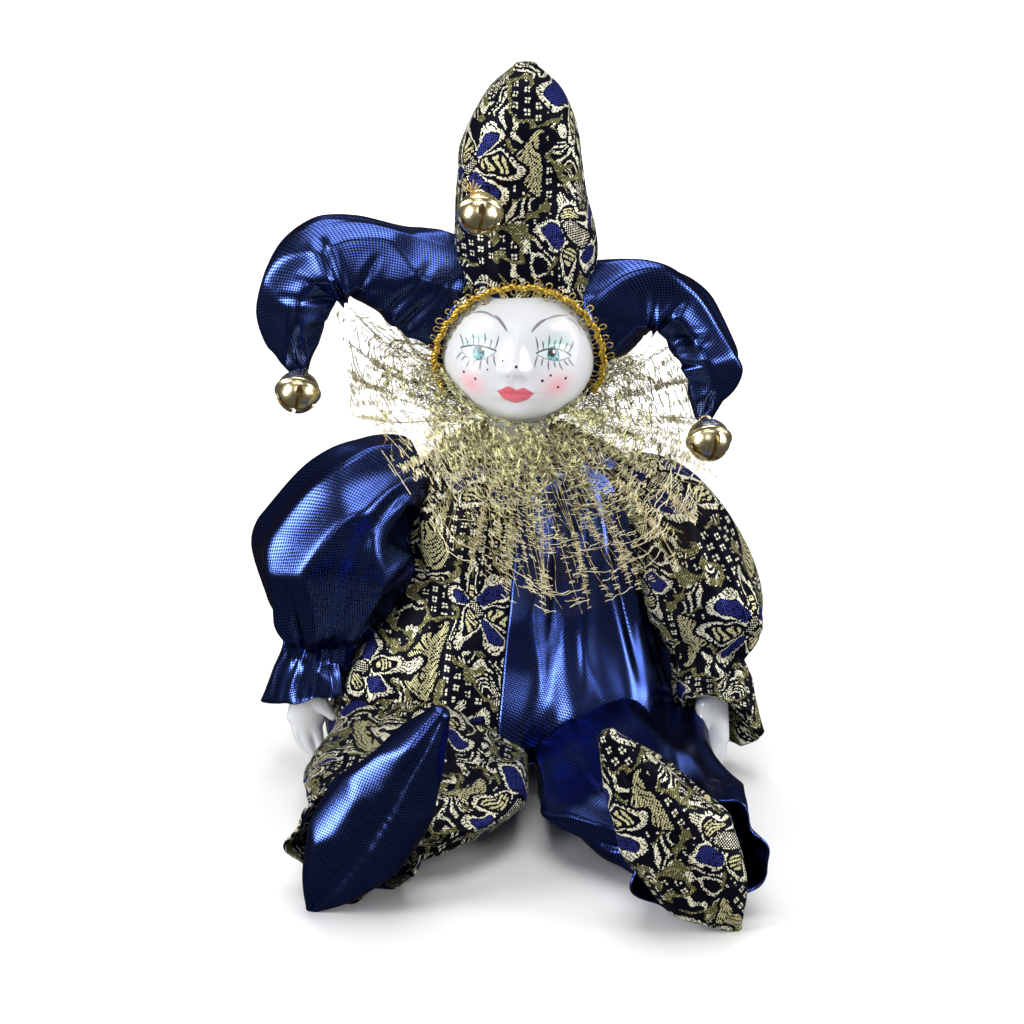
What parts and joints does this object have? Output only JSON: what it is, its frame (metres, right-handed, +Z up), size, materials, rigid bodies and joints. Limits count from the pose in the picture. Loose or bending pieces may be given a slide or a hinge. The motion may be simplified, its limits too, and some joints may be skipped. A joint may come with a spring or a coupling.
{
  "type": "porcelain clown doll",
  "caption": "Seated porcelain clown doll with a stuffed cloth body, a horned cap with jingle bells, a net ruff and a two-colour suit; it sits by its own weight as an ornament.",
  "frame": {"origin": "on the surface that the doll sits on, under its seat", "axes": "+Z up, the doll faces -Y, +X to the viewer's right"},
  "size_m": [0.1737, 0.1881, 0.2445],
  "materials": {
    "porcelain": "white glazed porcelain",
    "satin": "royal blue metallic satin",
    "brocade": "black, gold and blue brocade",
    "bell_brass": "polished",
    "braid": "gold metallic braid",
    "net": "gold metallic net"
  },
  "bodies": {
    "root": {"head": "porcelain", "hand_left": "porcelain", "hand_right": "porcelain", "hat_crown": "brocade", "hat_horn_left": "satin", "hat_horn_right": "satin", "hat_braid": "braid", "bell_left": "bell_brass", "bell_right": "bell_brass", "bell_front": "bell_brass", "ruff": "net", "jacket_left": "brocade", "jacket_right": "satin", "sleeve_left": "satin", "sleeve_right": "brocade", "trouser_left": "brocade", "trouser_right": "satin", "shoe_left": "satin", "shoe_right": "brocade"}
  },
  "joints": []
}
